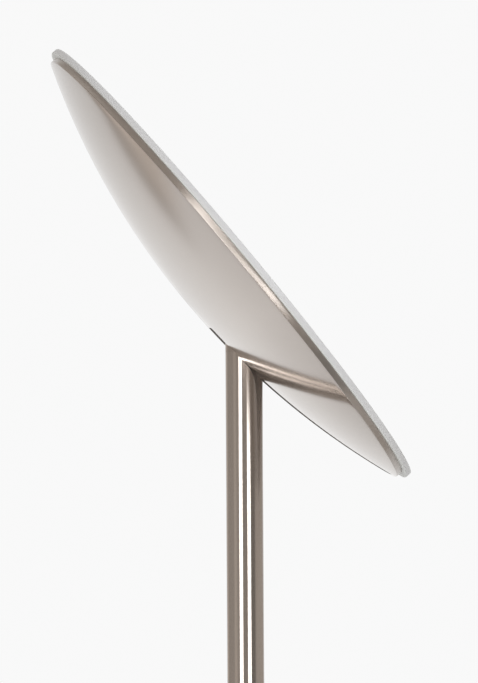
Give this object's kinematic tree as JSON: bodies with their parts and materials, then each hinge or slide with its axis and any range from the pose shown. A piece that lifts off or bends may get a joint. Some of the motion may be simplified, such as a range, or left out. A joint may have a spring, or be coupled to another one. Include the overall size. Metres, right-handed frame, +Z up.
{
  "type": "torchiere floor lamp",
  "caption": "Floor lamp with a shallow satin metal dish under a flat frosted glass top, tilting on a slim tube pole that enters the dish through a slot, on a round weighted base.",
  "frame": {"origin": "on the floor, at the middle of the base and of the pole", "axes": "+Z up along the pole; the glass faces up and towards +X at rest; the tilt axis is parallel to Y"},
  "size_m": [0.28, 0.297, 1.9521],
  "materials": {
    "satin_nickel": "satin nickel, fine brushing round the form",
    "plain_steel": "bright zinc plate",
    "frosted_glass": "etched on the face, ground edge",
    "black_rubber": "matte",
    "pan_aluminium": "mill finish",
    "white_film": "matte white film",
    "clear_acrylic": "clear, dotted underside",
    "led_board": "white mask",
    "led_lens": "yellow phosphor face",
    "black_plastic": "fine moulded grain",
    "weight_iron": "as cast, black dip",
    "lead_sleeve": "smooth sleeve",
    "washer_fibre": "red fibre"
  },
  "bodies": {
    "stand": {"base_cover": "satin_nickel", "base_floor_plate": "plain_steel", "base_pad": "black_rubber", "base_terminal": "black_plastic", "base_weight": "weight_iron", "cord_gland": "black_rubber", "dimmer_bezel": "satin_nickel", "dimmer_housing": "black_plastic", "floor_plate_screws": "plain_steel", "foot_screws": "plain_steel", "hinge_knuckle": "satin_nickel", "joiner_lower": "plain_steel", "joiner_upper": "plain_steel", "pole_collar": "satin_nickel", "pole_foot": "plain_steel", "pole_lead": "lead_sleeve", "pole_lower": "satin_nickel", "pole_middle": "satin_nickel", "pole_upper": "satin_nickel"},
    "head": {"glass_diffuser": "frosted_glass", "glass_gasket": "black_rubber", "dish_shell": "satin_nickel", "carrier_pan": "pan_aluminium", "plate_standoffs": "plain_steel", "carrier_screws": "plain_steel", "reflector_sheet": "white_film", "light_guide": "clear_acrylic", "led_strip": "led_board", "led_chips": "led_lens", "control_module": "black_plastic", "hinge_ear_near": "plain_steel", "hinge_ear_far": "plain_steel", "hinge_bolt": "plain_steel", "hinge_nut": "plain_steel", "friction_washers": "washer_fibre", "disc_springs": "plain_steel", "hinge_lead": "lead_sleeve"},
    "dimmer_button": {"dimmer_button": "satin_nickel"}
  },
  "joints": [
    {"name": "head_tilt", "type": "hinge", "parent": "stand", "child": "head", "pos_m": [0, 0, 1.8], "axis": [0, 1, 0], "range_deg": [-50.6, 39.4], "deforming": ["hinge_lead"]},
    {"name": "dimmer_press", "type": "slide", "parent": "stand", "child": "dimmer_button", "axis": [0, 1, 0], "range_m": [0, 0.001], "stiffness_N_per_m": 1500}
  ]
}
